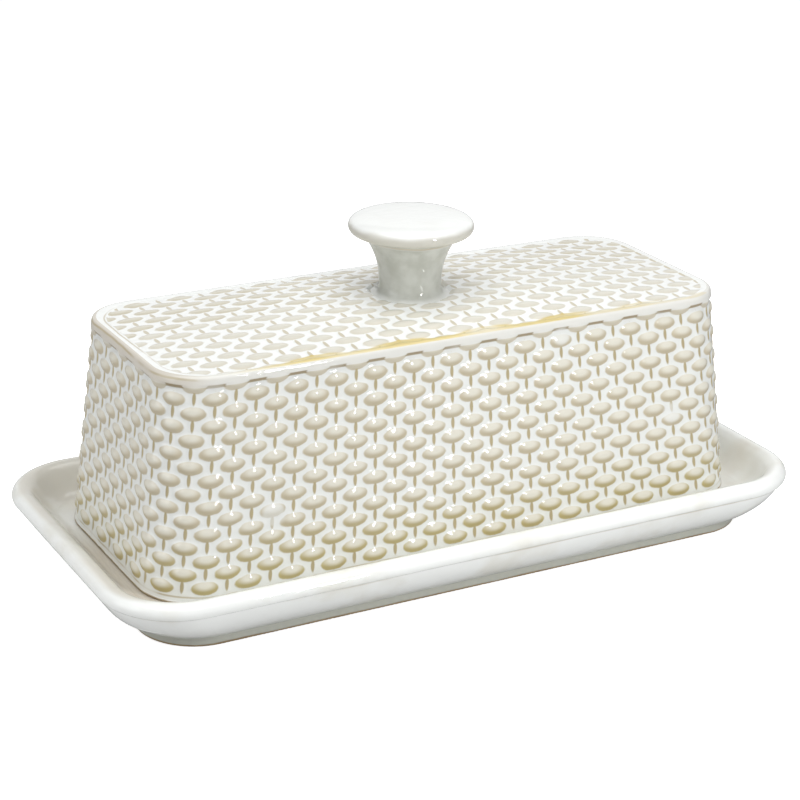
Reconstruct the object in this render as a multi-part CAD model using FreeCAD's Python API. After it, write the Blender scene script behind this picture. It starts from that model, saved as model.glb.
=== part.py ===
import FreeCAD, Part
import math
import os

# Covered butter dish in glazed stoneware: a shallow footed dish, and a deep
# box-shaped lid that stands loose inside the dish's lip, with a mushroom knob
# on top. Millimetres. The origin is on the table, under the centre of the
# foot: X runs along the dish, -Y is the front and Z is up.

# ---- driving dimensions ----------------------------------------------------

# dish
DISH_LENGTH = 204.0
DISH_WIDTH = 103.0
DISH_HEIGHT = 17.0
DISH_CORNER = 21.0          # plan radius of the lip's outer edge
LIP_HEIGHT = 4.0            # rounded band round the lip, over a shallow crease
FLOOR_TOP = 9.3             # the lid and the butter stand on this level
FLOOR_INSET = 13.0          # from the dish's outer edge to the flat floor
LIP_UNDERCUT = 0.8          # how far the belly ends inside the lip
CREASE_INSET = 1.7          # depth of the crease under the lip's band
CROWN_INSET = 2.8           # from the outline to the highest line of the lip
BELLY_TURN = (2.2, 7.2)     # inset and height that the belly's curve bends towards
FOOT_INSET = 10.0           # from the lip's outer edge to the foot ring
FOOT_END_INSET = 12.0       # the same at the two ends
FOOT_CORNER = 16.0
FOOT_HEIGHT = 2.5
FOOT_RING_WIDTH = 5.0
FOOT_RECESS = 3.6           # height of the hollow inside the foot ring
FOOT_EDGE = 0.7             # rounding of the ring's standing edge

# lid
LID_INSET = 13.5            # from the dish's outer edge to the lid's foot
LID_TAPER = 6.0             # each wall leans in by this much over its height
LID_HEIGHT = 57.7           # from the lid's foot to its top edge
LID_FOOT_CORNER = 17.0
LID_TOP_CORNER = 14.0
CROWN_RISE = 3.0            # the roof swells this much above its edge
WALL = 5.5
ROOF = 5.5
TOP_EDGE = 1.6              # rounding between the walls and the roof
LID_FOOT_EDGE = 1.0

# panels that carry the woven relief, sunk between smooth borders
RELIEF_DEPTH = 0.6
RIM_BAND = 2.8              # smooth band round the top of the walls
FOOT_BAND = 3.0             # smooth band round the foot of the walls
ROOF_BORDER = 3.0           # smooth frame round the roof

# knob
CAP_RADIUS = 16.7
CAP_WIDEST_ABOVE_EDGE = 20.7   # height of the widest level over the lid's edge
CAP_RISE = 3.2              # dome of the cap above its widest level
CAP_FULLNESS = 0.78         # 0 would be a cone, 1 a square shoulder
CAP_RIM_DROP = 1.9          # rounded rim below the widest level
STEM_RADIUS = 8.4
STEM_SHOULDER_RADIUS = 10.4
STEM_SHOULDER_DROP = 6.2    # below the cap's widest level
SEAT_RADIUS = 11.0          # the slip that joins the knob to the roof
STEM_WAIST_ABOVE_SEAT = 2.8

# ---- derived levels and sizes ----------------------------------------------

LID_FOOT_LENGTH = DISH_LENGTH - 2 * LID_INSET
LID_FOOT_WIDTH = DISH_WIDTH - 2 * LID_INSET
LID_TOP_LENGTH = LID_FOOT_LENGTH - 2 * LID_TAPER
LID_TOP_WIDTH = LID_FOOT_WIDTH - 2 * LID_TAPER
LID_FOOT_Z = FLOOR_TOP
LID_EDGE_Z = FLOOR_TOP + LID_HEIGHT
OVERSHOOT = 8.0             # how far cutting tools reach past what they cut
WELL_INSET = 5.2            # side of the hollow that the rim's slope then covers
RIM_OVERLAP = 1.8           # the rim and the floor share this much height

CAP_WIDEST_Z = LID_EDGE_Z + CAP_WIDEST_ABOVE_EDGE


# ---- outlines and simple solids --------------------------------------------

def rounded_rectangle(length, width, radius, z):
    """Closed wire of four sides and four corner arcs, centred on the Z axis."""
    half_x = length / 2 - radius
    half_y = width / 2 - radius
    edges = []
    corners = [(half_x, -half_y), (half_x, half_y), (-half_x, half_y), (-half_x, -half_y)]
    for index, (x, y) in enumerate(corners):
        centre = FreeCAD.Vector(x, y, z)
        start = math.radians(90 * index - 90)
        points = []
        for angle in (start, start + math.pi / 4, start + math.pi / 2):
            points.append(centre + radius * FreeCAD.Vector(math.cos(angle), math.sin(angle), 0))
        edges.append(Part.Arc(*points).toShape())
        next_x, next_y = corners[(index + 1) % 4]
        next_centre = FreeCAD.Vector(next_x, next_y, z)
        end = math.radians(90 * index)
        next_start = next_centre + radius * FreeCAD.Vector(math.cos(end), math.sin(end), 0)
        edges.append(Part.LineSegment(points[2], next_start).toShape())
    return Part.Wire(edges)


def prism(length, width, radius, z_low, z_high):
    """Upright block with rounded vertical corners."""
    outline = rounded_rectangle(length, width, radius, z_low)
    return Part.Face(outline).extrude(FreeCAD.Vector(0, 0, z_high - z_low))


def horizontal_edges(shape, z):
    """Every edge of the shape that lies wholly at one level."""
    found = []
    for edge in shape.Edges:
        box = edge.BoundBox
        if abs(box.ZMin - z) < 0.01 and abs(box.ZMax - z) < 0.01:
            found.append(edge)
    return found


# ---- dish ------------------------------------------------------------------

def dish_ring(inset, z, corner=None, end_inset=None):
    """Outline of the dish, moved in by an inset. The ends may be moved in further."""
    if corner is None:
        corner = DISH_CORNER - inset
    if end_inset is None:
        end_inset = inset
    return rounded_rectangle(DISH_LENGTH - 2 * end_inset, DISH_WIDTH - 2 * inset, corner, z)


def belly():
    """Solid body of the dish, flaring in one curve from the foot to the lip."""
    start = (FOOT_INSET, FOOT_HEIGHT)
    end = (LIP_UNDERCUT, DISH_HEIGHT - 0.6 * LIP_HEIGHT)
    upper_corner = DISH_CORNER - LIP_UNDERCUT
    wires = []
    steps = 5
    for step in range(steps + 1):
        t = step / steps
        weights = ((1 - t) ** 2, 2 * t * (1 - t), t ** 2)
        inset, z = (sum(w * p[k] for w, p in zip(weights, (start, BELLY_TURN, end))) for k in (0, 1))
        share = (FOOT_INSET - inset) / (FOOT_INSET - LIP_UNDERCUT)
        corner = FOOT_CORNER + (upper_corner - FOOT_CORNER) * share
        end_inset = inset + (FOOT_END_INSET - FOOT_INSET) * (1 - share)
        wires.append(dish_ring(inset, z, corner, end_inset))
    return Part.makeLoft(wires, True, False)


def rim():
    """Lip and inner slope: one section carried round the dish."""
    def at(inset, z):
        return FreeCAD.Vector(0, inset - DISH_WIDTH / 2, z)

    crease = DISH_HEIGHT - LIP_HEIGHT
    fall = DISH_HEIGHT - FLOOR_TOP
    run = FLOOR_INSET - CROWN_INSET
    outside = Part.BSplineCurve()
    outside.interpolate(
        [
            at(CREASE_INSET, crease),
            at(0.25, crease + 0.7),
            at(0, crease + 1.8),
            at(0.8, DISH_HEIGHT - 0.65),
            at(CROWN_INSET, DISH_HEIGHT),
            at(CROWN_INSET + 0.2 * run, DISH_HEIGHT - 0.09 * fall),
            at(CROWN_INSET + 0.38 * run, DISH_HEIGHT - 0.38 * fall),
            at(CROWN_INSET + 0.58 * run, DISH_HEIGHT - 0.74 * fall),
            at(CROWN_INSET + 0.8 * run, DISH_HEIGHT - 0.96 * fall),
            at(FLOOR_INSET, FLOOR_TOP),
        ],
        FinalTangent=FreeCAD.Vector(0, 3, 0),
    )
    buried = FLOOR_TOP - RIM_OVERLAP
    points = [at(FLOOR_INSET, FLOOR_TOP), at(FLOOR_INSET, buried), at(WELL_INSET, buried)]
    points += [at(CREASE_INSET + 0.7, crease - 0.8), at(CREASE_INSET, crease)]
    hidden = Part.makePolygon(points)
    section = Part.Wire([outside.toShape()] + hidden.Edges)
    return dish_ring(0, crease).makePipeShell([section], True, False)


def well():
    """Hollow above the floor, before the rim's slope is laid against its sides."""
    length = DISH_LENGTH - 2 * WELL_INSET
    width = DISH_WIDTH - 2 * WELL_INSET
    return prism(length, width, DISH_CORNER - WELL_INSET, FLOOR_TOP, DISH_HEIGHT + OVERSHOOT)


def foot():
    """Foot ring the dish stands on, before the underside is hollowed."""
    length = DISH_LENGTH - 2 * FOOT_END_INSET
    width = DISH_WIDTH - 2 * FOOT_INSET
    block = prism(length, width, FOOT_CORNER, 0, FOOT_HEIGHT)
    return block.makeFillet(FOOT_EDGE, horizontal_edges(block, 0))


def foot_recess():
    """Shallow hollow under the dish, inside the foot ring."""
    length = DISH_LENGTH - 2 * (FOOT_END_INSET + FOOT_RING_WIDTH)
    width = DISH_WIDTH - 2 * (FOOT_INSET + FOOT_RING_WIDTH)
    return prism(length, width, FOOT_CORNER - FOOT_RING_WIDTH, -1, FOOT_RECESS)


def dish():
    solid = belly().cut(well())
    return solid.fuse([rim(), foot()]).cut(foot_recess()).removeSplitter()


# ---- lid -------------------------------------------------------------------

def lid_outline(z, inset=0.0):
    """Outline of the tapered lid at any level, optionally moved inwards."""
    share = (z - LID_FOOT_Z) / LID_HEIGHT
    length = LID_FOOT_LENGTH - 2 * (LID_TAPER * share + inset)
    width = LID_FOOT_WIDTH - 2 * (LID_TAPER * share + inset)
    corner = LID_FOOT_CORNER + (LID_TOP_CORNER - LID_FOOT_CORNER) * share - inset
    return rounded_rectangle(length, width, corner, z)


def tapered_block(z_low, z_high, inset=0.0):
    """Part of the lid's tapered body between two levels."""
    outlines = [lid_outline(z_low, inset), lid_outline(z_high, inset)]
    return Part.makeLoft(outlines, True, True)


def above_crown(edge_z):
    """Everything over the swelling roof surface whose edge is at edge_z."""
    half_x = LID_TOP_LENGTH / 2
    half_y = LID_TOP_WIDTH / 2
    reach = 1.12
    steps = 6
    rows = []
    for i in range(steps + 1):
        across = reach * (2 * i / steps - 1)
        row = []
        for j in range(steps + 1):
            along = reach * (2 * j / steps - 1)
            rise = CROWN_RISE * (1 - along ** 2) * (1 - across ** 2)
            row.append(FreeCAD.Vector(along * half_x, across * half_y, edge_z + rise))
        rows.append(row)
    surface = Part.BSplineSurface()
    surface.interpolate(rows)
    return surface.toShape().extrude(FreeCAD.Vector(0, 0, 4 * OVERSHOOT))


def wall_panels():
    """Ring cut from the walls, leaving a band at the top and at the foot."""
    z_low = LID_FOOT_Z + FOOT_BAND
    z_high = LID_EDGE_Z - RIM_BAND
    outside = tapered_block(z_low, z_high, -OVERSHOOT)
    return outside.cut(tapered_block(z_low, z_high, RELIEF_DEPTH))


def roof_panel():
    """Shallow field cut from the roof inside its border."""
    length = LID_TOP_LENGTH - 2 * ROOF_BORDER
    width = LID_TOP_WIDTH - 2 * ROOF_BORDER
    corner = LID_TOP_CORNER - ROOF_BORDER
    column = prism(length, width, corner, LID_EDGE_Z - OVERSHOOT, LID_EDGE_Z + OVERSHOOT)
    return column.common(above_crown(LID_EDGE_Z - RELIEF_DEPTH))


def cavity():
    """Space for the butter, open at the bottom and following the roof."""
    block = tapered_block(LID_FOOT_Z - OVERSHOOT, LID_EDGE_Z + OVERSHOOT, WALL)
    return block.cut(above_crown(LID_EDGE_Z - ROOF))


def knob_seat():
    """Small flat on the crown of the roof, where the knob is joined."""
    height = CROWN_RISE + OVERSHOOT
    return Part.makeCylinder(SEAT_RADIUS, height, FreeCAD.Vector(0, 0, seat_level()))


def seat_level():
    """Height of the flat: level with the lowest part of the roof under the knob."""
    drop = CROWN_RISE * (SEAT_RADIUS / (LID_TOP_WIDTH / 2)) ** 2
    return LID_EDGE_Z - RELIEF_DEPTH + CROWN_RISE - drop


def roof_rim_edges(shape):
    """Edges where the outer walls meet the swelling roof."""
    found = []
    for edge in shape.Edges:
        box = edge.BoundBox
        at_top = box.ZMin > LID_EDGE_Z - 1.5
        middle = edge.valueAt((edge.FirstParameter + edge.LastParameter) / 2)
        far_x = abs(middle.x) > LID_TOP_LENGTH / 2 - LID_TOP_CORNER / 3
        far_y = abs(middle.y) > LID_TOP_WIDTH / 2 - LID_TOP_CORNER / 3
        if at_top and (far_x or far_y):
            found.append(edge)
    return found


def lid_shell():
    body = tapered_block(LID_FOOT_Z, LID_EDGE_Z + OVERSHOOT)
    body = body.cut(above_crown(LID_EDGE_Z))
    body = body.makeFillet(TOP_EDGE, roof_rim_edges(body))
    body = body.cut([cavity(), roof_panel(), knob_seat()])
    body = body.cut(wall_panels())
    return body.makeFillet(LID_FOOT_EDGE, horizontal_edges(body, LID_FOOT_Z))


# ---- knob ------------------------------------------------------------------

def knob():
    """Turned mushroom knob: domed cap, rounded rim, flared stem, slip foot."""
    seat = seat_level()
    top = CAP_WIDEST_Z + CAP_RISE
    rim_z = CAP_WIDEST_Z
    shoulder_z = CAP_WIDEST_Z - STEM_SHOULDER_DROP
    waist_z = seat + STEM_WAIST_ABOVE_SEAT

    def at(radius, z):
        return FreeCAD.Vector(radius, 0, z)

    dome = Part.BezierCurve()
    dome.setPoles([
        at(0, top),
        at(CAP_RADIUS * CAP_FULLNESS, top),
        at(CAP_RADIUS, rim_z + CAP_RISE * CAP_FULLNESS),
        at(CAP_RADIUS, rim_z),
    ])
    under_radius = CAP_RADIUS - CAP_RIM_DROP
    rim_middle = CAP_RIM_DROP * math.sqrt(0.5)
    rim = Part.Arc(
        at(CAP_RADIUS, rim_z),
        at(under_radius + rim_middle, rim_z - rim_middle),
        at(under_radius, rim_z - CAP_RIM_DROP),
    )
    flare = Part.BSplineCurve()
    flare.interpolate(
        [
            at(under_radius, rim_z - CAP_RIM_DROP),
            at(STEM_SHOULDER_RADIUS, shoulder_z),
            at(STEM_RADIUS, waist_z),
        ],
        InitialTangent=FreeCAD.Vector(-1, 0, -0.25),
        FinalTangent=FreeCAD.Vector(0, 0, -1),
    )
    slip = Part.BSplineCurve()
    slip.interpolate(
        [at(STEM_RADIUS, waist_z), at(SEAT_RADIUS, seat)],
        InitialTangent=FreeCAD.Vector(0, 0, -1),
        FinalTangent=FreeCAD.Vector(1, 0, -0.35),
    )
    base = Part.LineSegment(at(SEAT_RADIUS, seat), at(0, seat))
    axis = Part.LineSegment(at(0, seat), at(0, top))
    outline = Part.Wire([curve.toShape() for curve in (dome, rim, flare, slip, base, axis)])
    return Part.Face(outline).revolve(FreeCAD.Vector(0, 0, 0), FreeCAD.Vector(0, 0, 1), 360)


# ---- build -----------------------------------------------------------------

NODES = {
    "dish": dish,
    "lid_shell": lid_shell,
    "knob": knob,
}


def single_solid(name, shape):
    """Take the one closed solid out of a result, and refuse anything else."""
    solids = shape.Solids
    if len(solids) != 1 or not solids[0].isValid():
        raise RuntimeError(name + " is not one valid solid")
    return solids[0]


def main():
    os.makedirs("parts", exist_ok=True)
    for name, make in NODES.items():
        solid = single_solid(name, make())
        solid.exportStep(os.path.join("parts", name + ".step"))
        box = solid.BoundBox
        size = (box.XLength, box.YLength, box.ZLength)
        print(name, "size %.1f x %.1f x %.1f mm," % size, "volume %.0f mm3" % solid.Volume)


main()
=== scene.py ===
import math

import bpy
import numpy as np
from mathutils import Matrix, Vector
from mathutils.geometry import delaunay_2d_cdt


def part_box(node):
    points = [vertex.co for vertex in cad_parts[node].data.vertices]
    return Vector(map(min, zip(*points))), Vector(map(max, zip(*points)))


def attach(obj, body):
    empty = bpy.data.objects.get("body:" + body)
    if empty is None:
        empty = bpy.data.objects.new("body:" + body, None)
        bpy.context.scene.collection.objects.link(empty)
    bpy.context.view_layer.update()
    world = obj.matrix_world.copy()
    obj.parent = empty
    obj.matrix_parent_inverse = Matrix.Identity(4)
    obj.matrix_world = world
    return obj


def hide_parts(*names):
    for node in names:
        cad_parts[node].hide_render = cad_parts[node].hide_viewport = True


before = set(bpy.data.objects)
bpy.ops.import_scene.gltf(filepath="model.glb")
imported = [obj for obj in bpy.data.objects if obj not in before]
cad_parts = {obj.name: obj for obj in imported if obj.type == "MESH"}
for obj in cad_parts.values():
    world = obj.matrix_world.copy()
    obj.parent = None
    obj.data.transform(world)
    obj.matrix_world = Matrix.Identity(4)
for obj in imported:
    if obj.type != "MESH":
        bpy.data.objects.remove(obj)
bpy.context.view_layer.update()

# Looks of a covered butter dish in glazed stoneware. The lid carries a woven
# relief of ovals joined by short ridges. It is built here as real geometry, in
# the outline of the CAD lid. The dish and the knob are the CAD solids.
# Lengths in the constants are millimetres, and meshes are made in metres.

MM = 0.001

# ---- shape of the lid, as in the CAD model ---------------------------------

FOOT_HALF_X, FOOT_HALF_Y, FOOT_CORNER, FOOT_Z = 88.5, 38.0, 17.0, 9.3
EDGE_HALF_X, EDGE_HALF_Y, EDGE_CORNER, EDGE_Z = 82.5, 32.0, 14.0, 67.0
CROWN_RISE = 3.0             # the roof swells this much above its edge
WALL, ROOF = 5.5, 5.5        # thickness
FOOT_ROUND = 1.0
SEAT_RADIUS = 11.0           # under the knob
SEAT_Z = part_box("knob")[0].z / MM

# these two roundings are not the CAD model's
EDGE_ROUND = 1.2             # between the walls and the roof
CEILING_ROUND = 3.0          # between the inside walls and the ceiling

WALL_HEIGHT = EDGE_Z - FOOT_Z
TAPER = FOOT_HALF_X - EDGE_HALF_X
SLOPE_LENGTH = math.hypot(WALL_HEIGHT, TAPER)

# ---- outline of the dish, as in the CAD model ------------------------------

DISH_CORNER = 21.0
DISH_STRAIGHT_X, DISH_STRAIGHT_Y = 81.0, 30.5    # the corners of the dish start here

# ---- woven relief ----------------------------------------------------------

# Walls and roof carry one kind of lattice: ovals where column + row is even,
# and ridges between the ovals of each column.
COLUMNS = 80                 # round the walls, counted from the middle of the front
FIRST_COLUMN = 0.08          # columns past the middle of the front
ROW_PITCH = 3.425            # down the slope of the walls
FIRST_ROW = 2.2              # half ovals hang from the rim band
LAST_ROW = 15
PATTERN_END = LAST_ROW + 0.52                    # in rows
ROOF_COLUMN_PITCH, ROOF_COLUMN_START = 6.117, -0.35
ROOF_ROW_PITCH, ROOF_ROW_START = 3.6, 1.04

OVAL_HALF_WIDTH = 0.60       # in columns
OVAL_HALF_HEIGHT = 0.51      # in rows
OVAL_DOME = 0.5              # how far an oval falls from its middle to its outline
OVAL_SHOULDER = 0.92         # where its steep side lies, as a share of its size
OVAL_STEEPNESS = 8
RIDGE_HALF_WIDTH = 0.075
RIDGE_HALF_LENGTH = 0.56
RIDGE_TAPER = 0.7            # share of the half length where a ridge starts to sink
WALL_RELIEF = 0.75           # the field lies this far below the tops of the ovals
ROOF_RELIEF = 0.4
RIDGE_SHARE = 0.45           # height of a ridge, as a share of the relief
FOOT_SHARE = 0.3             # and of the band along the foot
POOL_SHARE = 0.35            # and of the glaze pooled round the knob
RIM_BAND = 2.55              # smooth band along the top of the walls
FOOT_BAND_START = 55.2       # smooth band along the foot of the walls
FOOT_BAND_RAMP = 1.2
PANEL_HALF_X, PANEL_CORNER = 79.4, 12.5          # patterned part of the roof
PANEL_FRONT, PANEL_BACK = -30.5, 28.0
PANEL_MIDDLE_Y = (PANEL_BACK + PANEL_FRONT) / 2
PANEL_HALF_Y = (PANEL_BACK - PANEL_FRONT) / 2
BAND_RAMP = 0.25             # half width of the steps beside bands and the panel
POOL_RADIUS, POOL_RAMP = 13.2, 1.6               # glaze round the knob drowns the relief

# mesh lines inside one lattice cell: closer together beside the ridges
COLUMN_LINES = (0.0, 0.09, 0.25, 0.41, 0.59, 0.75, 0.91)
LINES_PER_ROW = 7


def smooth_step(low, high, value):
    share = np.clip((value - low) / (high - low), 0, 1)
    return share * share * (3 - 2 * share)


def oval_distance(column, row):
    """0 in the middle of the nearest oval and 1 on its outline."""
    nearest = np.inf
    for shift in (0, 1):
        across = (column - shift) - 2 * np.round((column - shift) / 2)
        along = (row - shift) - 2 * np.round((row - shift) / 2)
        nearest = np.minimum(nearest, np.hypot(across / OVAL_HALF_WIDTH, along / OVAL_HALF_HEIGHT))
    return nearest


def weave(column, row, first_ridge=-np.inf):
    """Height of the pattern over its field, from 0 to 1.

    An oval is a pillow: gently domed, steep at its outline, with a hollow
    fillet of glaze where it meets the field.
    """
    distance = oval_distance(column, row)
    oval = np.clip(1 - OVAL_DOME * distance ** 2, 0, 1)
    oval = oval / (1 + (distance / OVAL_SHOULDER) ** OVAL_STEEPNESS)
    near_column, near_row = np.round(column), np.round(row)
    is_ridge = ((near_column + near_row) % 2 == 1) & (near_row >= first_ridge)
    profile = np.exp(-((column - near_column) / RIDGE_HALF_WIDTH) ** 2)
    reach = np.abs(row - near_row) / RIDGE_HALF_LENGTH
    ridge = RIDGE_SHARE * profile * is_ridge * (1 - smooth_step(RIDGE_TAPER, 1, reach))
    return np.maximum(oval, ridge)


def wall_relief(column, below_edge):
    """Height of the wall over the field of its pattern, from 0 to 1."""
    row = (below_edge - FIRST_ROW) / ROW_PITCH
    pattern = weave(column, row, first_ridge=1) * (row < PATTERN_END)
    band = 1 - smooth_step(RIM_BAND - BAND_RAMP, RIM_BAND + BAND_RAMP, below_edge)
    foot = FOOT_SHARE * smooth_step(FOOT_BAND_START, FOOT_BAND_START + FOOT_BAND_RAMP, below_edge)
    return np.maximum(np.maximum(pattern, band), foot)


def roof_lattice(x, y):
    """Column and row of a place on the roof."""
    column = (x - ROOF_COLUMN_START) / ROOF_COLUMN_PITCH
    row = (y - ROOF_ROW_START) / ROOF_ROW_PITCH
    return column, row


def inside_rectangle(x, y, half_x, half_y, corner):
    """Distance inwards from the outline of a rounded rectangle."""
    beyond_x = np.abs(x) - (half_x - corner)
    beyond_y = np.abs(y) - (half_y - corner)
    outside = np.hypot(np.maximum(beyond_x, 0), np.maximum(beyond_y, 0))
    return corner - outside - np.minimum(np.maximum(beyond_x, beyond_y), 0)


def inside_edge(x, y):
    """Distance inwards from the lid's top edge."""
    return inside_rectangle(x, y, EDGE_HALF_X, EDGE_HALF_Y, EDGE_CORNER)


def inside_panel(x, y):
    """Distance inwards from the outline of the roof's panel."""
    return inside_rectangle(x, y - PANEL_MIDDLE_Y, PANEL_HALF_X, PANEL_HALF_Y, PANEL_CORNER)


def roof_relief(x, y):
    """Height of the roof over the field of its pattern, from 0 to 1."""
    drowned = 1 - smooth_step(POOL_RADIUS, POOL_RADIUS + POOL_RAMP, np.hypot(x, y))
    pattern = weave(*roof_lattice(x, y)) * (1 - drowned) + POOL_SHARE * drowned
    frame_edge = 1 - smooth_step(-BAND_RAMP, BAND_RAMP, inside_panel(x, y))
    return np.maximum(pattern, frame_edge)


# ---- surfaces of the lid ---------------------------------------------------

CORNER_STEP = 3              # degrees between the points of a rounded corner


def rounded_loop(share, half_x, half_y, corner):
    """Points round a rounded rectangle. share goes from 0 to 1, starting at the
    middle of the front and turning to the right."""
    points = [(0, -half_y)]
    for quarter, (side_x, side_y) in enumerate(((1, -1), (1, 1), (-1, 1), (-1, -1))):
        for degrees in range(90 * quarter - 90, 90 * quarter + 1, CORNER_STEP):
            angle = math.radians(degrees)
            x = side_x * (half_x - corner) + corner * math.cos(angle)
            y = side_y * (half_y - corner) + corner * math.sin(angle)
            points.append((x, y))
    points.append((0, -half_y))
    points = np.array(points)
    steps = np.hypot(*np.diff(points, axis=0).T)
    travelled = np.concatenate(([0], np.cumsum(steps))) / steps.sum()
    return np.interp(share, travelled, points[:, 0]), np.interp(share, travelled, points[:, 1])


def lid_loop(share, z, inset=0.0):
    """Points of the lid's outline at a height, moved inwards by inset."""
    rise = (z - FOOT_Z) / WALL_HEIGHT
    half_x = FOOT_HALF_X - TAPER * rise - inset
    half_y = FOOT_HALF_Y - TAPER * rise - inset
    corner = FOOT_CORNER + (EDGE_CORNER - FOOT_CORNER) * rise - inset
    x, y = rounded_loop(share, half_x, half_y, corner)
    return np.stack((x, y, np.full_like(x, z)), axis=1)


def wall_loop(share, below_edge):
    """Points of the outer wall a distance down its slope from the edge."""
    return lid_loop(share, EDGE_Z - below_edge * WALL_HEIGHT / SLOPE_LENGTH)


def on_crown(points, lowered=0.0):
    """The points, moved up or down onto the swelling roof."""
    x, y = points[:, 0], points[:, 1]
    rise = CROWN_RISE * (1 - (x / EDGE_HALF_X) ** 2) * (1 - (y / EDGE_HALF_Y) ** 2)
    return np.stack((x, y, EDGE_Z + rise - lowered), axis=1)


def rounding(start, corner, end, steps):
    """Loops that turn smoothly from one loop to another about a corner loop."""
    loops = []
    for step in range(1, steps):
        t = step / steps
        loops.append((1 - t) ** 2 * start + 2 * t * (1 - t) * corner + t ** 2 * end)
    return loops


def sink(loops, depths):
    """The wall loops, with each point moved into the wall by its depth."""
    grid = np.array(loops)
    along = np.roll(grid, -1, axis=1) - np.roll(grid, 1, axis=1)
    down = np.gradient(grid, axis=0)
    normal = np.cross(down, along)
    normal /= np.linalg.norm(normal, axis=2, keepdims=True)
    return grid - normal * np.array(depths)[:, :, None]


class Surface:
    """Collects the points, faces and lattice coordinates of one mesh."""

    def __init__(self):
        self.points = []
        self.count = 0
        self.faces = []
        self.lattice = []
        self.place = []
        self.materials = []

    def add_points(self, points):
        first = self.count
        self.points.append(points)
        self.count += len(points)
        return first

    def add_face(self, corners, material, lattice, place):
        self.faces.append(corners)
        self.lattice.extend(lattice)
        self.place.extend(place)
        self.materials.append(material)

    def add_band(self, first, second, columns, material, rows, place):
        """Quads between two closed loops. columns has one more value than a loop has points."""
        count = len(columns) - 1
        for i in range(count):
            j = (i + 1) % count
            corners = (first + i, second + i, second + j, first + j)
            left, right = columns[i], columns[i + 1]
            lattice = ((left, rows[0]), (left, rows[1]), (right, rows[1]), (right, rows[0]))
            self.add_face(corners, material, lattice, (place[0], place[1], place[1], place[0]))

    def mesh(self, name):
        data = bpy.data.meshes.new(name)
        data.from_pydata((np.concatenate(self.points) * MM).tolist(), [], self.faces)
        for layer, values in (("lattice", self.lattice), ("place", self.place)):
            uv = data.uv_layers.new(name=layer)
            uv.data.foreach_set("uv", np.asarray(values, np.float32).ravel())
        data.polygons.foreach_set("material_index", self.materials)
        data.polygons.foreach_set("use_smooth", [True] * len(self.faces))
        data.validate()
        return data


PATTERNED, PLAIN = 0, 1      # material slots of the lid

# The "place" coordinates are a distance and one of these two. The distance is
# down from the edge on the walls, and inwards from the panel's outline on the roof.
ON_WALL, ON_ROOF = 0.0, 1.0

WHOLE_HULL, SAME_POINT = 0, 1e-6                 # options of the triangulation


def triangles_inside(loop, inner):
    """Triangles that fill a convex loop, using the inner points."""
    flat = [Vector(p) for p in np.concatenate((loop, inner))[:, :2].tolist()]
    _, _, faces, origins, _, _ = delaunay_2d_cdt(flat, [], [], WHOLE_HULL, SAME_POINT)
    return [[origins[corner][0] for corner in face] for face in faces]


def crossings(x_lines, y_lines):
    """Points where two sets of lines cross."""
    x, y = np.meshgrid(x_lines, y_lines)
    return np.stack((x.ravel(), y.ravel(), np.zeros(x.size)), axis=1)


def panel_loop(share, inset):
    """Outline of the roof's panel, moved inwards by inset."""
    x, y = rounded_loop(share, PANEL_HALF_X - inset, PANEL_HALF_Y - inset, PANEL_CORNER - inset)
    return np.stack((x, y + PANEL_MIDDLE_Y, np.zeros_like(x)), axis=1)


# clear distances between neighbouring sets of points on the roof
PANEL_LOOP_INSET = 0.3
PANEL_GRID_INSET = 0.65
FRAME_GAP = 0.15


def outer_roof_points(share):
    """Points of the patterned roof: a loop on each side of the panel's edge,
    then a grid that follows the lattice."""
    first = math.floor(-EDGE_HALF_X / ROOF_COLUMN_PITCH) - 1
    x_lines = []
    for column in range(first, -first + 1):
        for line in COLUMN_LINES:
            x_lines.append(ROOF_COLUMN_START + (column + line) * ROOF_COLUMN_PITCH)
    last = math.ceil(EDGE_HALF_Y / ROOF_ROW_PITCH) * LINES_PER_ROW
    y_lines = [ROOF_ROW_START + k * ROOF_ROW_PITCH / LINES_PER_ROW for k in range(-last, last + 1)]
    grid = crossings(x_lines, y_lines)
    grid = grid[inside_panel(grid[:, 0], grid[:, 1]) > PANEL_GRID_INSET]
    points = np.concatenate((panel_loop(share, -BAND_RAMP), panel_loop(share, PANEL_LOOP_INSET), grid))
    return points[inside_edge(points[:, 0], points[:, 1]) > EDGE_ROUND + FRAME_GAP]


TOP_STEPS, FOOT_STEPS, CEILING_STEPS = 5, 4, 5   # steps of the roundings
INNER_WALL_LOOPS = 8
LINE_GAP = 0.3               # between the top rounding and the first line of the walls
CEILING_GRID = 6
CEILING_HALF_X, CEILING_HALF_Y = 72, 21
CEILING_GAP = 5              # between the grid and the inside walls
FLAT = (0, 0)                # lattice and place of the parts without a pattern


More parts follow.
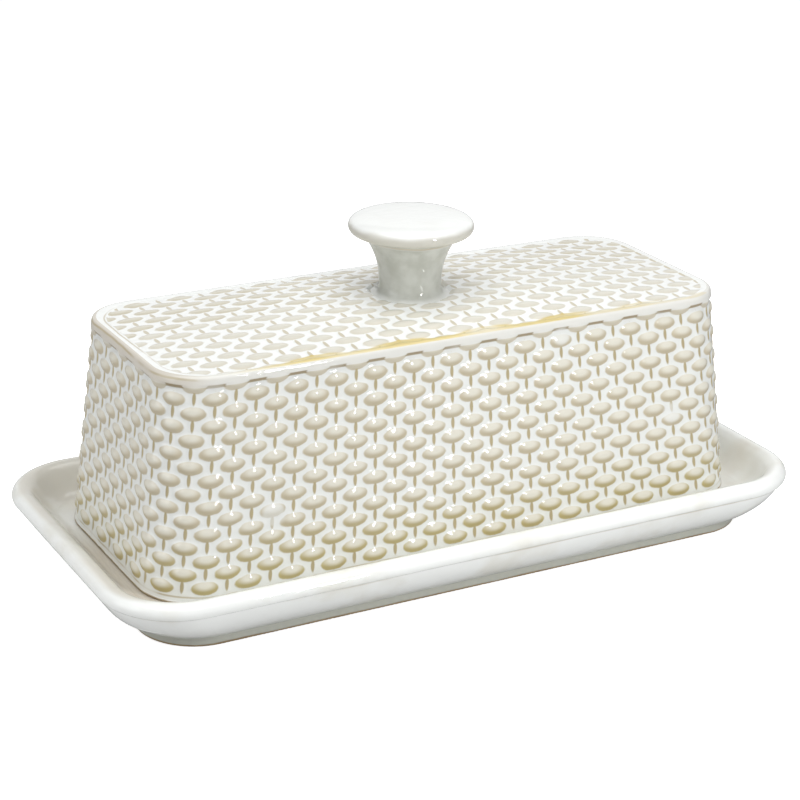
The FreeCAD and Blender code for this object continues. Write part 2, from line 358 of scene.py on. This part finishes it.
def add_outer_walls(surface, columns, share):
    """Outer skin, from the roof's frame down to the foot. Returns where each loop starts."""
    step = ROW_PITCH / LINES_PER_ROW
    first_line = math.ceil((EDGE_ROUND + LINE_GAP - FIRST_ROW) / step)
    last_line = round(PATTERN_END * LINES_PER_ROW)
    below = [EDGE_ROUND]
    below += [FIRST_ROW + k * step for k in range(first_line, last_line)]
    near_top_of_ramp = FOOT_BAND_START + 0.75 * FOOT_BAND_RAMP
    below += [near_top_of_ramp, SLOPE_LENGTH - FOOT_ROUND]
    walls = [wall_loop(share, distance) for distance in below]
    depths = [WALL_RELIEF * (1 - wall_relief(columns[:-1], distance)) for distance in below]
    depths[0] = np.zeros(len(share))
    walls = list(sink(walls, depths))

    frame_loop = on_crown(lid_loop(share, EDGE_Z, EDGE_ROUND))
    edge_loop = on_crown(lid_loop(share, EDGE_Z))
    foot_corner = lid_loop(share, FOOT_Z)
    foot_loop = lid_loop(share, FOOT_Z, FOOT_ROUND)
    top_turn = rounding(frame_loop, edge_loop, walls[0], TOP_STEPS)
    foot_turn = rounding(walls[-1], foot_corner, foot_loop, FOOT_STEPS)
    loops = [frame_loop] + top_turn + walls + foot_turn + [foot_loop]
    turn_below = [EDGE_ROUND * (2 * turn / TOP_STEPS - 1) for turn in range(1, TOP_STEPS)]
    levels = [-EDGE_ROUND] + turn_below + below + [SLOPE_LENGTH] * FOOT_STEPS

    starts = [surface.add_points(loop) for loop in loops]
    for k in range(len(loops) - 1):
        material = PATTERNED if levels[k] < SLOPE_LENGTH - FOOT_ROUND else PLAIN
        rows = [(level - FIRST_ROW) / ROW_PITCH for level in levels[k:k + 2]]
        place = [(level, ON_WALL) for level in levels[k:k + 2]]
        surface.add_band(starts[k], starts[k + 1], columns, material, rows, place)
    return starts, frame_loop


def add_roof(surface, share, frame_start, frame_loop):
    """Patterned roof inside the frame loop."""
    inner = outer_roof_points(share)
    roof = on_crown(inner, ROOF_RELIEF * (1 - roof_relief(inner[:, 0], inner[:, 1])))
    under_knob = np.hypot(roof[:, 0], roof[:, 1]) < SEAT_RADIUS
    roof[under_knob, 2] = np.minimum(roof[under_knob, 2], SEAT_Z)
    offset = surface.add_points(roof) - len(share)
    every = np.concatenate((frame_loop, roof))
    lattice = np.stack(roof_lattice(every[:, 0], every[:, 1]), axis=1)
    distance = inside_panel(every[:, 0], every[:, 1])
    for face in triangles_inside(frame_loop, inner):
        corners = [frame_start + c if c < len(share) else offset + c for c in face]
        place = [(distance[c], ON_ROOF) for c in face]
        surface.add_face(corners, PATTERNED, [tuple(lattice[c]) for c in face], place)


def add_inside(surface, columns, share):
    """Plain inside, from the standing rim up to the ceiling. Returns where the first loop starts."""
    standing = lid_loop(share, FOOT_Z, WALL - FOOT_ROUND)
    rounded = lid_loop(share, FOOT_Z, WALL)
    start = lid_loop(share, FOOT_Z + FOOT_ROUND, WALL)
    loops = [standing] + rounding(standing, rounded, start, FOOT_STEPS) + [start]
    heights = np.linspace(FOOT_Z + FOOT_ROUND, EDGE_Z - ROOF - CEILING_ROUND, INNER_WALL_LOOPS)
    loops += [lid_loop(share, z, WALL) for z in heights[1:]]
    corner = on_crown(lid_loop(share, EDGE_Z - ROOF, WALL), ROOF)
    ceiling = on_crown(lid_loop(share, EDGE_Z - ROOF, WALL + CEILING_ROUND), ROOF)
    loops += rounding(loops[-1], corner, ceiling, CEILING_STEPS) + [ceiling]
    starts = [surface.add_points(loop) for loop in loops]
    for k in range(len(loops) - 1):
        surface.add_band(starts[k], starts[k + 1], columns, PLAIN, FLAT, (FLAT, FLAT))

    x_lines = np.arange(-CEILING_HALF_X, CEILING_HALF_X + 1, CEILING_GRID)
    y_lines = np.arange(-CEILING_HALF_Y, CEILING_HALF_Y + 1, CEILING_GRID)
    grid = crossings(x_lines, y_lines)
    grid = grid[inside_edge(grid[:, 0], grid[:, 1]) > WALL + CEILING_GAP]
    offset = surface.add_points(on_crown(grid, ROOF)) - len(share)
    for face in triangles_inside(ceiling, grid):
        corners = [starts[-1] + c if c < len(share) else offset + c for c in reversed(face)]
        surface.add_face(corners, PLAIN, [FLAT] * 3, [FLAT] * 3)
    return starts[0]


def add_standing_rim(surface, outer, inner, half):
    """Flat rim that the lid stands on, between the outer loop and one of half as many points."""
    count = 2 * half
    for k in range(half):
        corners = [outer + 2 * k, inner + k, inner + (k + 1) % half]
        corners += [outer + (2 * k + 2) % count, outer + 2 * k + 1]
        surface.add_face(corners, PLAIN, [FLAT] * 5, [FLAT] * 5)


def build_lid():
    surface = Surface()
    columns = np.array([c + line for c in range(COLUMNS) for line in COLUMN_LINES] + [COLUMNS])
    share = (columns[:-1] + FIRST_COLUMN) / COLUMNS % 1
    starts, frame_loop = add_outer_walls(surface, columns, share)
    add_roof(surface, share, starts[0], frame_loop)
    inner_columns = np.append(columns[:-1:2], COLUMNS)
    inner_start = add_inside(surface, inner_columns, share[::2])
    add_standing_rim(surface, starts[-1], inner_start, len(share[::2]))
    return surface.mesh("lid_woven")


# ---- node formulas ---------------------------------------------------------

def combine(tree, operation, *values):
    """A Math node over terms and plain numbers."""
    node = tree.nodes.new("ShaderNodeMath")
    node.operation = operation
    for socket, value in zip(node.inputs, values):
        plug(tree, socket, value)
    return Term(tree, node.outputs[0])


class Term:
    """A number inside a node tree, so that node formulas read as Python."""

    def __init__(self, tree, socket):
        self.tree = tree
        self.socket = socket

    def math(self, operation, *others):
        return combine(self.tree, operation, self, *others)

    def __add__(self, other):
        return self.math("ADD", other)

    def __sub__(self, other):
        return self.math("SUBTRACT", other)

    def __rsub__(self, other):
        return combine(self.tree, "SUBTRACT", other, self)

    def __mul__(self, other):
        return self.math("MULTIPLY", other)

    def __pow__(self, other):
        return self.math("POWER", other)

    def step(self, low, high, to_low=0.0, to_high=1.0):
        """Smooth step of this number from one level to another."""
        node = self.tree.nodes.new("ShaderNodeMapRange")
        node.interpolation_type = "SMOOTHSTEP"
        plug(self.tree, node.inputs["Value"], self)
        levels = {"From Min": low, "From Max": high, "To Min": to_low, "To Max": to_high}
        for name, value in levels.items():
            node.inputs[name].default_value = value
        return Term(self.tree, node.outputs["Result"])


def plug(tree, socket, value):
    """Feeds a socket from a Term, a node socket or a plain value."""
    if isinstance(value, Term):
        tree.links.new(value.socket, socket)
    elif isinstance(value, bpy.types.NodeSocket):
        tree.links.new(value, socket)
    else:
        socket.default_value = value


def srgb(red, green, blue):
    """A colour given as 0 to 255 on screen, in the linear form nodes take."""
    linear = []
    for value in (red, green, blue):
        share = value / 255
        linear.append(share / 12.92 if share <= 0.04045 else ((share + 0.055) / 1.055) ** 2.4)
    return (*linear, 1.0)


class Material:
    """A material and the node tools its formulas need."""

    def __init__(self, name):
        self.data = bpy.data.materials.new(name)
        self.data.use_nodes = True
        self.tree = self.data.node_tree
        self.shader = self.tree.nodes["Principled BSDF"]

    def split(self, socket):
        """The three numbers of a vector."""
        node = self.tree.nodes.new("ShaderNodeSeparateXYZ")
        self.tree.links.new(socket, node.inputs[0])
        return [Term(self.tree, out) for out in node.outputs]

    def uv(self, layer):
        """The two numbers of a UV layer."""
        node = self.tree.nodes.new("ShaderNodeUVMap")
        node.uv_map = layer
        return self.split(node.outputs["UV"])[:2]

    def position(self):
        """Object coordinates in metres, as a socket."""
        return self.tree.nodes.new("ShaderNodeTexCoord").outputs["Object"]

    def millimetres(self):
        """Object coordinates as three numbers in millimetres."""
        return [number * (1 / MM) for number in self.split(self.position())]

    def facing_up(self):
        """How far the surface faces up, from -1 to 1."""
        return self.split(self.tree.nodes.new("ShaderNodeTexCoord").outputs["Normal"])[2]

    def noise(self, scale, detail=2.0):
        """Noise with the given number of waves in a metre."""
        node = self.tree.nodes.new("ShaderNodeTexNoise")
        node.inputs["Scale"].default_value = scale
        node.inputs["Detail"].default_value = detail
        self.tree.links.new(self.position(), node.inputs["Vector"])
        return Term(self.tree, node.outputs["Fac"])

    def stray(self, scale, reach):
        """Noise about zero, within half of reach to either side."""
        return (self.noise(scale) - 0.5) * reach

    def near(self, x, y, z, radius):
        """1 within a radius of a point, fading out. Millimetres."""
        node = self.tree.nodes.new("ShaderNodeVectorMath")
        node.operation = "DISTANCE"
        self.tree.links.new(self.position(), node.inputs[0])
        node.inputs[1].default_value = (x * MM, y * MM, z * MM)
        return Term(self.tree, node.outputs["Value"]).step(0.6 * radius * MM, radius * MM, 1, 0)

    def specks(self, spacing, size, share):
        """Small dots about a spacing apart, in millimetres. Only a share of them show."""
        node = self.tree.nodes.new("ShaderNodeTexVoronoi")
        node.inputs["Scale"].default_value = 1 / (spacing * MM)
        self.tree.links.new(self.position(), node.inputs["Vector"])
        split = self.tree.nodes.new("ShaderNodeSeparateColor")
        self.tree.links.new(node.outputs["Color"], split.inputs[0])
        chosen = Term(self.tree, split.outputs[0]).math("LESS_THAN", share)
        reach = size / spacing
        return Term(self.tree, node.outputs["Distance"]).step(0.5 * reach, reach, 1, 0) * chosen

    def mix(self, share, first, second):
        node = self.tree.nodes.new("ShaderNodeMix")
        node.data_type = "RGBA"
        plug(self.tree, node.inputs["Factor"], share)
        plug(self.tree, node.inputs[6], first)
        plug(self.tree, node.inputs[7], second)
        return node.outputs[2]

    def bump(self, height, strength, distance, normal=None):
        node = self.tree.nodes.new("ShaderNodeBump")
        node.inputs["Strength"].default_value = strength
        node.inputs["Distance"].default_value = distance
        plug(self.tree, node.inputs["Height"], height)
        if normal is not None:
            self.tree.links.new(normal, node.inputs["Normal"])
        return node.outputs["Normal"]

    def finish(self, colour, roughness, normal):
        plug(self.tree, self.shader.inputs["Base Color"], colour)
        plug(self.tree, self.shader.inputs["Roughness"], roughness)
        self.tree.links.new(normal, self.shader.inputs["Normal"])
        self.shader.inputs["IOR"].default_value = 1.5
        return self.data


# ---- glazes ----------------------------------------------------------------

GLAZE = srgb(248, 250, 248)
GLAZE_LID = srgb(236, 238, 235)
GLAZE_THIN = srgb(227, 224, 211)     # the clay shows through a thinner coat
WELL_GREY_AND_SHADE = srgb(220, 220, 213)     # thin glaze in the well, greyed further with painted shade of the lid
GLAZE_ROOF = srgb(212, 207, 190)     # ovals of the roof
GLAZE_BEIGE = srgb(214, 207, 194)
# grey of the knob's stem: partly a thinner coat, partly painted shade under the cap
STEM_GREY_AND_SHADE = srgb(186, 188, 179)
# grey of the cap's rim: partly a greyer coat, partly painted shade of its lower, downward-turning half
KNOB_RIM_GREY_AND_SHADE = srgb(210, 208, 198)      # lower half of the cap's rim
# grey of the dish's foot: partly a thinner coat, partly painted shade near the floor
FOOT_GREY_AND_SHADE = srgb(198, 199, 189)
CLAY_RIM = srgb(194, 182, 154)       # broken glaze on raised edges
CLAY_LINE = srgb(184, 170, 134)      # and on the ridges
CLAY_OLIVE = srgb(184, 168, 108)
CLAY_GOLD = srgb(216, 196, 124)
# dark tan in the undercut below the rim band: partly thin glaze, partly painted shade
UNDERCUT_TAN_AND_SHADE = srgb(152, 134, 98)       # in the undercuts
CLAY_BARE = srgb(134, 104, 70)
SPECK = srgb(120, 104, 80)

# patches of thicker glaze on the lid: x, y, z and radius
BLOTCHES = ((-57, -36, 29.5, 4.0), (63, -35.5, 36, 3.5), (28, -32.6, 62.5, 3.0))
LEFT_END = (-82, -68)                # tan and beige fade between these values of x
GOLD_FRONT = (-29.7, -29.0)          # the gold fades out between these values of y
GOLD_LEFT = (-72, -45)               # and in between these values of x
LID_FOOT_LINE = (FOOT_Z + 1.7, FOOT_Z + 2.1)
# bare clay at the foot, taken higher than the standing rim as a painted shadow line where the lid
# meets the dish
LID_BARE_AND_SHADOW = (FOOT_Z + 0.5, FOOT_Z + 0.8)
DASH_HALF_WIDTH, DASH_HALF_LENGTH = 0.1, 0.54    # tan dashes on the ridges
DASH_LIFT = 0.05                     # in rows, towards the oval above

# heights over the knob's seat
KNOB_STEM = (0.4, 15.4)
KNOB_RIM = (15.6, 19.6)
KNOB_LINE = (15.4, 15.9)

# heights over the ground
DISH_BARE = (0.6, 0.9)
DISH_FOOT = (2.4, 3.2)
DISH_HOLLOW_TAN_AND_SHADE = (12.7, 13.2)           # tan line under the lip, with painted shade in the hollow

# distances inwards from the outline of the dish
DISH_WELL = (2.6, 4.4)
DISH_WORN = (9, 11.5)                # beige glaze beside the lid's left end


def glaze_surface(m):
    """Roughness and fine relief shared by every glazed surface."""
    ripple = m.noise(140, 3)
    peel = m.noise(1500, 2)
    normal = m.bump(ripple, 0.25, 0.6 * MM)
    normal = m.bump(peel, 0.06, 0.1 * MM, normal)
    roughness = m.noise(300, 3).step(0.3, 0.7, 0.02, 0.06)
    return roughness, normal


def white_coat(m, thinning):
    """White glaze with clouds of a thinner coat."""
    return m.mix(m.noise(70, 4).step(0.45, 0.75, 0, thinning), GLAZE, GLAZE_THIN)


def nearest_oval(column, row):
    """Position in the nearest oval: across and down, 1 at its outline."""
    places = []
    for shift in (0, 1):
        across = (column - shift) * 0.5
        across = (across - across.math("ROUND")) * (2 / OVAL_HALF_WIDTH)
        down = (row - shift) * 0.5
        down = (down - down.math("ROUND")) * (2 / OVAL_HALF_HEIGHT)
        places.append((across, down, across * across + down * down))
    (across, down, size), (other_across, other_down, other_size) = places
    other = other_size.math("LESS_THAN", size)
    return across + (other_across - across) * other, down + (other_down - down) * other


def band(value, low, high, soft):
    """1 where a value lies between two levels, with soft ends."""
    return value.step(low - soft, low + soft) * value.step(high - soft, high + soft, 1, 0)


class WovenGlaze(Material):
    """White glaze that breaks to tan on the ovals, the ridges and the arrises, with painted shade on
    the ovals' lower sides and under the rim band, and painted light on the ovals' upper edges.
    """

    def __init__(self):
        super().__init__("lid_woven_glaze")
        self.column, self.row = self.uv("lattice")
        self.place, self.on_roof = self.uv("place")
        self.on_wall = 1 - self.on_roof
        self.x, self.y, self.z = self.millimetres()
        self.across, self.down = nearest_oval(self.column, self.row)
        self.distance = (self.across * self.across + self.down * self.down) ** 0.5
        self.patch = self.noise(60, 3)
        self.broken = self.noise(90)
        self.left_end = self.x.step(*LEFT_END, 1, 0)
        self.rim_band = self.place.step(RIM_BAND - 0.1, RIM_BAND + 0.15, 1, 0) * self.on_wall

    def patterned(self):
        """0 on the smooth bands and the roof's frame, 1 elsewhere."""
        frame_edge = self.place.step(-0.12, 0.12, 1, 0) * self.on_roof
        foot_band = self.row.step(LAST_ROW + 0.5, LAST_ROW + 0.6) * self.on_wall
        return 1 - frame_edge.math("MAXIMUM", self.rim_band).math("MAXIMUM", foot_band)

    def ground(self):
        """Colour of the smooth bands and of the field between the ovals."""
        colour = self.mix(self.on_roof, GLAZE_LID, GLAZE)
        return self.mix(self.rim_band * (self.left_end * 0.6 + 0.3), colour, GLAZE_BEIGE)

    def ovals(self):
        """1 on the ovals. On the walls their upper edges stay white: partly glaze lying over them,
        partly painted light on the edges that face up.
        """
        # painted light: on the walls the tan is pulled away from the upper, upward-facing edge
        covered = self.distance + self.down * (self.on_wall * -0.12)
        covered = covered - self.on_wall * 0.08 - self.on_roof * 0.04 + self.stray(400, 0.3)
        return covered.step(0.84, 1.02, 1, 0) * self.row.step(0.4, 0.6, 0.8, 1)

    def oval_colour(self):
        """A thin coat that turns tan towards the outline. On the walls the tan reaches further in from
        the lower edge: partly glaze running thin, partly painted shade of the side that faces down.
        """
        # painted shade: on the walls the tan is pushed towards the lower, downward-facing side
        lowered = self.down + self.on_wall * 0.45
        rim = (self.across * self.across * 0.9 + lowered * lowered) ** 0.5
        rim = (rim + (self.patch - 0.5) * 0.5).step(0.3, 1.15)
        low_down = self.row.step(LAST_ROW - 5, LAST_ROW + 0.3) * self.on_wall
        tan = self.mix(low_down, CLAY_RIM, CLAY_OLIVE)
        thin = self.mix(self.on_roof * 0.6, GLAZE_THIN, GLAZE_ROOF)
        return self.mix(rim * (self.on_wall * 0.4 + 0.5), thin, tan)

    def ridges(self):
        """1 on the ridges: short dashes with pointed ends, hanging from the ovals."""
        near_column, near_row = self.column.math("ROUND"), self.row.math("ROUND")
        off_column = (self.column - near_column) * (1 / DASH_HALF_WIDTH)
        off_row = (self.row - near_row + DASH_LIFT) * (1 / DASH_HALF_LENGTH)
        dash = off_column * off_column + off_row * off_row
        between_ovals = (near_column + near_row).math("PINGPONG", 1)
        below_band = self.row.step(0.4, 0.5) * self.on_wall + self.on_roof
        return dash.step(0.35, 1.2, 1, 0) * between_ovals * below_band

    def add_pattern(self, colour):
        patterned = self.patterned()
        colour = self.mix(self.ovals() * patterned, colour, self.oval_colour())
        line = self.mix(self.on_roof * 0.5, CLAY_LINE, GLAZE_THIN)
        return self.mix(self.ridges() * patterned, colour, line)

    def add_tan_and_shade_lines(self, colour):
        """Under the rim band a dark line, partly tan and partly painted shade in the undercut; tan
        lines along the arris, round the roof's panel and at the foot.
        """
        # partly thin glaze, partly painted shade in the undercut below the rim band
        undercut = band(self.place, RIM_BAND - 0.5, RIM_BAND + 0.4, 0.15) * self.on_wall
        undercut = undercut * self.distance.step(0.85, 1.05)
        colour = self.mix(undercut * self.broken.step(0.3, 0.5, 0.5, 0.9), colour, UNDERCUT_TAN_AND_SHADE)
        wander = self.place + self.stray(45, 1.6)
        arris = band(wander, 0.2, 0.8, 0.25) * self.on_wall
        frame_line = band(wander, -0.6, -0.2, 0.2) * self.on_roof
        line = arris.math("MAXIMUM", frame_line) * self.left_end * self.broken.step(0.3, 0.5)
        colour = self.mix(line * 0.75, colour, CLAY_LINE)
        foot = band(self.z + self.stray(60, 0.8), *LID_FOOT_LINE, 0.2)
        return self.mix(foot * self.broken.step(0.45, 0.6, 0.2, 0.9), colour, CLAY_RIM)

    def add_gold(self, colour):
        """Gold along the front arris, in scallops where ovals run into it."""
        scallop = 0.5 - (self.column - 1).math("PINGPONG", 2) * 0.5
        edge = self.y - scallop * self.on_roof * 2.2 + (self.patch - 0.5) * 1.5
        gold = edge.step(*GOLD_FRONT, 1, 0) * self.x.step(*GOLD_LEFT)
        gold = gold * self.z.step(EDGE_Z - 0.35, EDGE_Z - 0.05)
        gold = gold * self.noise(35).step(0.3, 0.55, 0.35, 1)
        return self.mix(gold * 0.9, colour, CLAY_GOLD)


def woven_glaze():
    m = WovenGlaze()
    colour = m.add_gold(m.add_tan_and_shade_lines(m.add_pattern(m.ground())))
    for x, y, z, radius in BLOTCHES:
        colour = m.mix(m.near(x, y, z, radius) * 0.6, colour, GLAZE_LID)
    colour = m.mix(m.specks(9, 0.3, 0.1) * 0.6, colour, SPECK)
    roughness, normal = glaze_surface(m)
    return m.finish(colour, roughness, normal)


def lid_inside_glaze():
    """Glaze of the lid's inside. The rim that it stands on is bare, and the dark bare clay reaches up
    the foot as a painted shadow line where the lid meets the dish.
    """
    m = Material("lid_plain_glaze")
    z = m.millimetres()[2]
    colour = white_coat(m, 0.5)
    colour = m.mix(m.specks(9, 0.4, 0.1) * 0.7, colour, SPECK)
    # partly bare clay, partly a painted shadow line along the lid's foot
    bare = (z + m.stray(200, 0.6)).step(*LID_BARE_AND_SHADOW, 1, 0)
    colour = m.mix(bare, colour, m.mix(m.noise(500, 3), CLAY_BARE, CLAY_RIM))
    _, normal = glaze_surface(m)
    return m.finish(colour, bare.step(0, 1, 0.12, 0.7), normal)


def knob_glaze():
    """White cap, a stem of grey glaze darkened with painted shade under the cap, the lower half of the
    cap's rim greyed with painted shade, and a tan line where the glaze breaks under the rim.
    """
    m = Material("knob_glaze")
    z = m.millimetres()[2]
    height = z - SEAT_Z + m.stray(120, 1.2)
    colour = white_coat(m, 0.15)
    # the lower half of the cap's rim: partly a greyer coat, partly painted shade
    colour = m.mix(band(height, *KNOB_RIM, 0.8), colour, KNOB_RIM_GREY_AND_SHADE)
    # the stem: partly grey glaze, partly painted shade under the cap
    stem = band(height, *KNOB_STEM, 0.7) * m.noise(220, 4).step(0.3, 0.7, 0.75, 1)
    colour = m.mix(stem, colour, STEM_GREY_AND_SHADE)
    under_rim = band(height, *KNOB_LINE, 0.3) * m.noise(60).step(0.35, 0.6)
    colour = m.mix(under_rim * 0.8, colour, CLAY_RIM)
    colour = m.mix(m.specks(5, 0.35, 0.15) * 0.8, colour, SPECK)
    roughness, normal = glaze_surface(m)
    return m.finish(colour, roughness, normal)


def inside_dish_outline(x, y):
    """Distance inwards from the outline of the dish, true near its edge."""
    past_x = (x.math("ABSOLUTE") - DISH_STRAIGHT_X).math("MAXIMUM", 0)
    past_y = (y.math("ABSOLUTE") - DISH_STRAIGHT_Y).math("MAXIMUM", 0)
    return DISH_CORNER - (past_x * past_x + past_y * past_y) ** 0.5


def dish_glaze():
    """White lip and outside, a thin grey coat in the well darkened with painted shade of the lid,
    painted shade in the hollow under the lip and on the foot band, and a bare foot.
    """
    m = Material("dish_glaze")
    x, y, z = m.millimetres()
    up = m.facing_up()
    inset = inside_dish_outline(x, y)
    colour = white_coat(m, 0.5)

    # the well: a grey coat, greyest at the back and at the left end as painted shade of the lid, and
    # beige in worn patches
    far = y.step(20, 44).math("MAXIMUM", x.step(-100, -90, 0.8, 0))
    well = (inset + far * 2 + m.stray(50, 1.2)).step(*DISH_WELL) * up.step(0.0, 0.3)
    colour = m.mix(well * (far * 0.5 + 0.5), colour, WELL_GREY_AND_SHADE)
    beside_lid = (inset + m.stray(60, 2)).step(*DISH_WORN) * x.step(-86, -80, 1, 0)
    beside_lid = beside_lid * y.step(0, 25, 1, 0) * well
    worn = well * m.noise(45, 3).step(0.45, 0.6, 0, 0.4)
    colour = m.mix(worn.math("MAXIMUM", beside_lid), colour, GLAZE_BEIGE)

    # the outside: a tan line with painted shade in the hollow, and the foot darkened with painted
    # shade near the floor
    # partly tan, partly painted shade in the hollow under the lip
    hollow = band(z + m.stray(60, 0.5), *DISH_HOLLOW_TAN_AND_SHADE, 0.2) * up.step(-0.3, 0.6, 1, 0)
    colour = m.mix(hollow * m.noise(40).step(0.35, 0.65, 0, 0.6), colour, CLAY_RIM)
    # the foot band: partly a thinner coat, partly painted shade near the floor
    colour = m.mix(z.step(*DISH_FOOT, 1, 0), colour, FOOT_GREY_AND_SHADE)
    bare = (z + m.stray(90, 0.5)).step(*DISH_BARE, 1, 0)
    colour = m.mix(bare, colour, m.mix(m.noise(500, 3), CLAY_BARE, CLAY_LINE))
    colour = m.mix(m.specks(9, 0.4, 0.12) * 0.6, colour, SPECK)
    roughness, normal = glaze_surface(m)
    return m.finish(colour, roughness + bare * 0.5, normal)


def dress(obj, material):
    obj.data.materials.clear()
    obj.data.materials.append(material)


# ---- pieces ----------------------------------------------------------------

lid = bpy.data.objects.new("lid_woven", build_lid())
bpy.context.scene.collection.objects.link(lid)
lid.data.materials.append(woven_glaze())
lid.data.materials.append(lid_inside_glaze())
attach(lid, "lid")
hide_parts("lid_shell")

dress(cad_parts["dish"], dish_glaze())
dress(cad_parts["knob"], knob_glaze())

# ---- floor, light and camera -----------------------------------------------

scene = bpy.context.scene
scene.view_settings.view_transform = "Standard"

WHITE = (1, 1, 1, 1)
PAPER = (0.92, 0.92, 0.92, 1)
FLOOR_REACH = 3.0            # metres to each side
FLOOR_BOUNCE = 0.6           # share of the light that the floor sends back up
FLOOR_GLOW = 0.75            # keeps the paper white away from the lamps
AMBIENT = 0.18


def add_floor():
    data = bpy.data.meshes.new("floor")
    sides = ((-1, -1), (1, -1), (1, 1), (-1, 1))
    corners = [(side_x * FLOOR_REACH, side_y * FLOOR_REACH, 0) for side_x, side_y in sides]
    data.from_pydata(corners, [], [(0, 1, 2, 3)])
    floor = bpy.data.objects.new("floor", data)
    scene.collection.objects.link(floor)
    m = Material("floor_paper")
    m.shader.inputs["Base Color"].default_value = PAPER
    m.shader.inputs["Roughness"].default_value = 0.9
    m.shader.inputs["Specular IOR Level"].default_value = 0.1
    m.shader.inputs["Emission Color"].default_value = WHITE
    m.shader.inputs["Emission Strength"].default_value = FLOOR_GLOW
    # the camera sees white paper, and the dish is lit by a greyer one
    nodes = m.tree.nodes
    grey = nodes.new("ShaderNodeBsdfDiffuse")
    grey.inputs["Color"].default_value = (FLOOR_BOUNCE, FLOOR_BOUNCE, FLOOR_BOUNCE, 1)
    path = nodes.new("ShaderNodeLightPath")
    mix = nodes.new("ShaderNodeMixShader")
    plug(m.tree, mix.inputs[0], path.outputs["Is Camera Ray"])
    plug(m.tree, mix.inputs[1], grey.outputs[0])
    plug(m.tree, mix.inputs[2], m.shader.outputs[0])
    plug(m.tree, nodes["Material Output"].inputs["Surface"], mix.outputs[0])
    dress(floor, m.data)


def add_softbox(name, place, aim, size_x, size_y, power):
    """Rectangular lamp at a place, facing a point. Millimetres and watts."""
    lamp = bpy.data.lights.new(name, "AREA")
    lamp.shape = "RECTANGLE"
    lamp.size = size_x * MM
    lamp.size_y = size_y * MM
    lamp.energy = power
    obj = bpy.data.objects.new(name, lamp)
    obj.location = Vector(place) * MM
    obj.rotation_euler = (Vector(place) - Vector(aim)).to_track_quat("Z", "Y").to_euler()
    obj.visible_camera = False
    scene.collection.objects.link(obj)


def add_world():
    """Even white light from all sides."""
    world = bpy.data.worlds.new("studio")
    scene.world = world
    world.use_nodes = True
    background = world.node_tree.nodes["Background"]
    background.inputs["Color"].default_value = WHITE
    background.inputs["Strength"].default_value = AMBIENT


add_floor()
add_softbox("overhead", (-60, -100, 700), (-60, -100, 0), 900, 700, 4.1)
add_softbox("strip", (62, -275, 150), (0, -35, 40), 20, 110, 0.34)
add_softbox("low_front", (-160, -620, 90), (0, 0, 30), 700, 160, 0.31)
add_softbox("left", (-450, 0, 170), (0, 0, 40), 300, 300, 0.54)
add_softbox("back", (280, 560, 260), (0, 0, 60), 900, 420, 0.8)
add_world()

CAMERA_AZIMUTH, CAMERA_ELEVATION, CAMERA_ROLL = -28.647, 21.125, 1.016
CAMERA_DISTANCE = 584.77     # back from the point it aims at
CAMERA_AIM = (-2.98, -1.05, 38.92)
FOCAL_LENGTH, SENSOR_WIDTH = 96.94, 36


def add_camera():
    azimuth = math.radians(CAMERA_AZIMUTH)
    elevation = math.radians(CAMERA_ELEVATION)
    roll = math.radians(CAMERA_ROLL)
    back = Vector((
        math.sin(azimuth) * math.cos(elevation),
        -math.cos(azimuth) * math.cos(elevation),
        math.sin(elevation),
    ))
    data = bpy.data.cameras.new("camera")
    data.lens = FOCAL_LENGTH
    data.sensor_width = SENSOR_WIDTH
    camera = bpy.data.objects.new("camera", data)
    place = (Vector(CAMERA_AIM) + back * CAMERA_DISTANCE) * MM
    turn = back.to_track_quat("Z", "Y").to_matrix().to_4x4() @ Matrix.Rotation(roll, 4, "Z")
    camera.matrix_world = Matrix.Translation(place) @ turn
    scene.collection.objects.link(camera)
    scene.camera = camera


add_camera()
